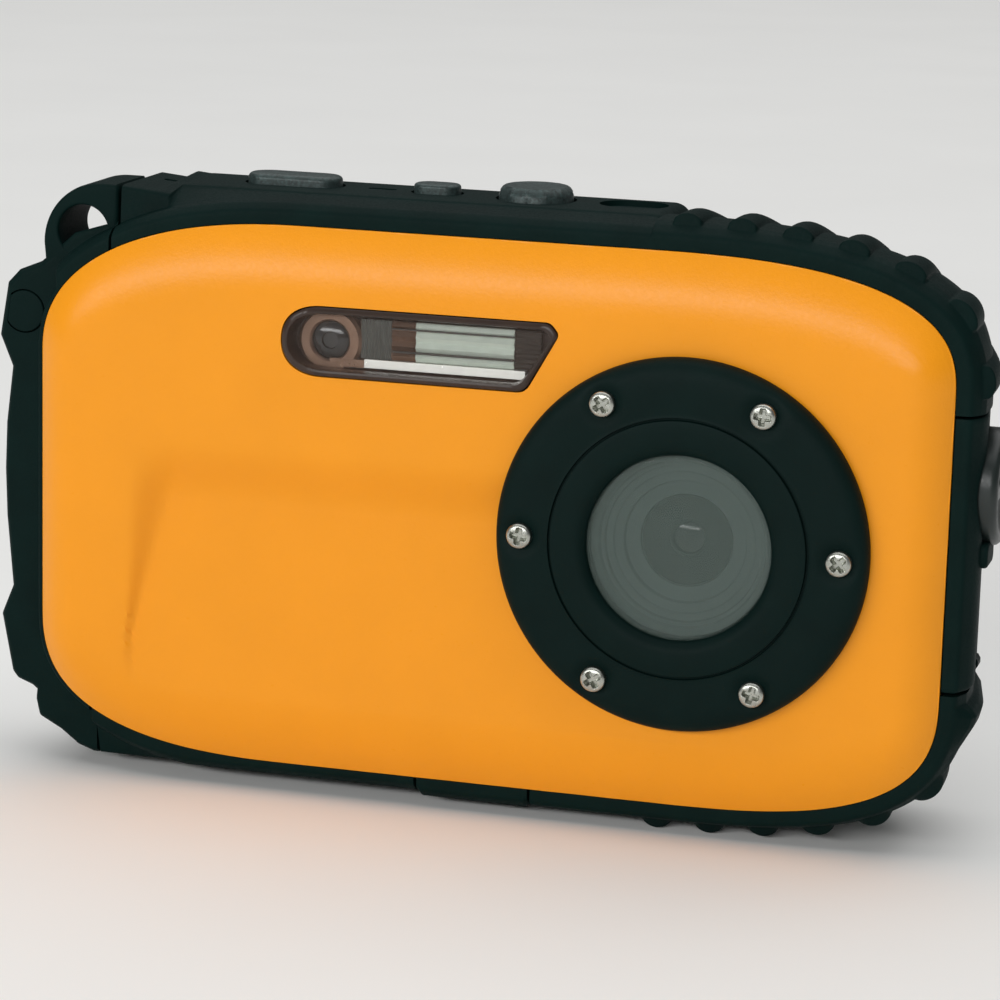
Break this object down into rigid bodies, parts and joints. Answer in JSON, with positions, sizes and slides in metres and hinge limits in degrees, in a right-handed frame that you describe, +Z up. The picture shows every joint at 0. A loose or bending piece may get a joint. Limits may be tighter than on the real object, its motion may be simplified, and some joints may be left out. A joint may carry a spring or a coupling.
{
  "type": "rugged waterproof compact camera",
  "caption": "Slim waterproof compact camera: crowned orange front plate in ribbed black armour, screwed round lens port, flash window, strap lug, side battery door and rear display.",
  "frame": {"origin": "middle of the footprint's box, on the surface that the camera stands on", "axes": "+X to the right as seen from the front, +Y from the front plate to the display, +Z up"},
  "size_m": [0.0996, 0.0244, 0.0606],
  "materials": {
    "orange_plastic": "moulded ABS, semi-gloss, fine grain",
    "black_plastic": "moulded, satin",
    "armour": "soft-touch rubber over plastic, matt",
    "seal_rubber": "silicone seal",
    "grey_plastic": "moulded, satin with a fine sparkle",
    "inner_plastic": "matt black moulding",
    "smoked_plastic": "clear smoked polycarbonate",
    "bronze_plastic": "metallised moulding, bronze tint",
    "port_glass": "flat polished glass",
    "display_glass": "black-edged hard window",
    "chrome": "vacuum-metallised",
    "steel": "stainless",
    "brass": "turned",
    "circuit_board": "solder mask",
    "battery_wrap": "shrink wrap"
  },
  "bodies": {
    "camera": {"front_cover": "orange_plastic", "main_housing": "black_plastic", "rear_cover": "black_plastic", "left_bumper": "armour", "screw_plug": "armour", "top_deck": "armour", "top_right_bumper": "armour", "bottom_right_bumper": "armour", "bottom_left_rail": "armour", "tripod_block": "armour", "tripod_nut": "brass", "door_hinge_pin": "steel", "lens_ring": "black_plastic", "port_glass": "port_glass", "port_gasket": "seal_rubber", "ring_screw_1": "steel", "ring_screw_2": "steel", "ring_screw_3": "steel", "ring_screw_4": "steel", "ring_screw_5": "steel", "ring_screw_6": "steel", "lens_barrel": "inner_plastic", "front_lens": "port_glass", "image_sensor": "inner_plastic", "flash_window": "smoked_plastic", "flash_reflector": "chrome", "flash_tube": "port_glass", "lamp_housing": "bronze_plastic", "timer_lamp": "inner_plastic", "display_window": "display_glass", "display_panel": "inner_plastic", "key_board": "circuit_board", "case_screw_1": "steel", "case_screw_2": "steel", "case_screw_3": "steel", "case_screw_4": "steel", "battery_tray": "inner_plastic", "battery_pack": "battery_wrap", "battery_contacts": "brass", "main_board": "circuit_board", "flash_capacitor": "inner_plastic", "speaker": "inner_plastic"},
    "door": {"side_door": "armour", "door_gasket": "seal_rubber"},
    "knob": {"door_knob": "grey_plastic", "latch_cam": "steel"},
    "shutter_button": {"shutter_button": "grey_plastic"},
    "power_button": {"power_button": "grey_plastic"},
    "mode_button": {"mode_button": "grey_plastic"},
    "zoom_in_key": {"zoom_in_key": "grey_plastic"},
    "zoom_out_key": {"zoom_out_key": "grey_plastic"},
    "playback_key": {"playback_key": "grey_plastic"},
    "menu_key": {"menu_key": "grey_plastic"},
    "delete_key": {"delete_key": "grey_plastic"},
    "direction_pad": {"direction_pad": "grey_plastic"},
    "ok_key": {"ok_key": "grey_plastic"}
  },
  "joints": [
    {"name": "door_hinge", "type": "hinge", "parent": "camera", "child": "door", "pos_m": [0.04725, 0.00105, 0.01795], "axis": [0, 1, 0], "range_deg": [0, 90]},
    {"name": "knob_turn", "type": "hinge", "parent": "door", "child": "knob", "pos_m": [0.04805, -0.00025, 0.03535], "axis": [1, 0, 0], "range_deg": [0, 90]},
    {"name": "shutter_press", "type": "slide", "parent": "camera", "child": "shutter_button", "axis": [0, 0, -1], "range_m": [0, 0.0005], "stiffness_N_per_m": 1000, "springref_m": -0.0005},
    {"name": "power_press", "type": "slide", "parent": "camera", "child": "power_button", "axis": [0, 0, -1], "range_m": [0, 0.0005], "stiffness_N_per_m": 1000, "springref_m": -0.0005},
    {"name": "mode_press", "type": "slide", "parent": "camera", "child": "mode_button", "axis": [0, 0, -1], "range_m": [0, 0.0005], "stiffness_N_per_m": 1000, "springref_m": -0.0005},
    {"name": "zoom_in_press", "type": "slide", "parent": "camera", "child": "zoom_in_key", "axis": [0, -1, 0], "range_m": [0, 0.0005], "stiffness_N_per_m": 1000, "springref_m": -0.0005},
    {"name": "zoom_out_press", "type": "slide", "parent": "camera", "child": "zoom_out_key", "axis": [0, -1, 0], "range_m": [0, 0.0005], "stiffness_N_per_m": 1000, "springref_m": -0.0005},
    {"name": "playback_press", "type": "slide", "parent": "camera", "child": "playback_key", "axis": [0, -1, 0], "range_m": [0, 0.0005], "stiffness_N_per_m": 1000, "springref_m": -0.0005},
    {"name": "menu_press", "type": "slide", "parent": "camera", "child": "menu_key", "axis": [0, -1, 0], "range_m": [0, 0.0005], "stiffness_N_per_m": 1000, "springref_m": -0.0005},
    {"name": "delete_press", "type": "slide", "parent": "camera", "child": "delete_key", "axis": [0, -1, 0], "range_m": [0, 0.0005], "stiffness_N_per_m": 1000, "springref_m": -0.0005},
    {"name": "pad_press", "type": "slide", "parent": "camera", "child": "direction_pad", "axis": [0, -1, 0], "range_m": [0, 0.0005], "stiffness_N_per_m": 1000, "springref_m": -0.0005},
    {"name": "ok_press", "type": "slide", "parent": "camera", "child": "ok_key", "axis": [0, -1, 0], "range_m": [0, 0.0005], "stiffness_N_per_m": 1000, "springref_m": -0.0005}
  ]
}
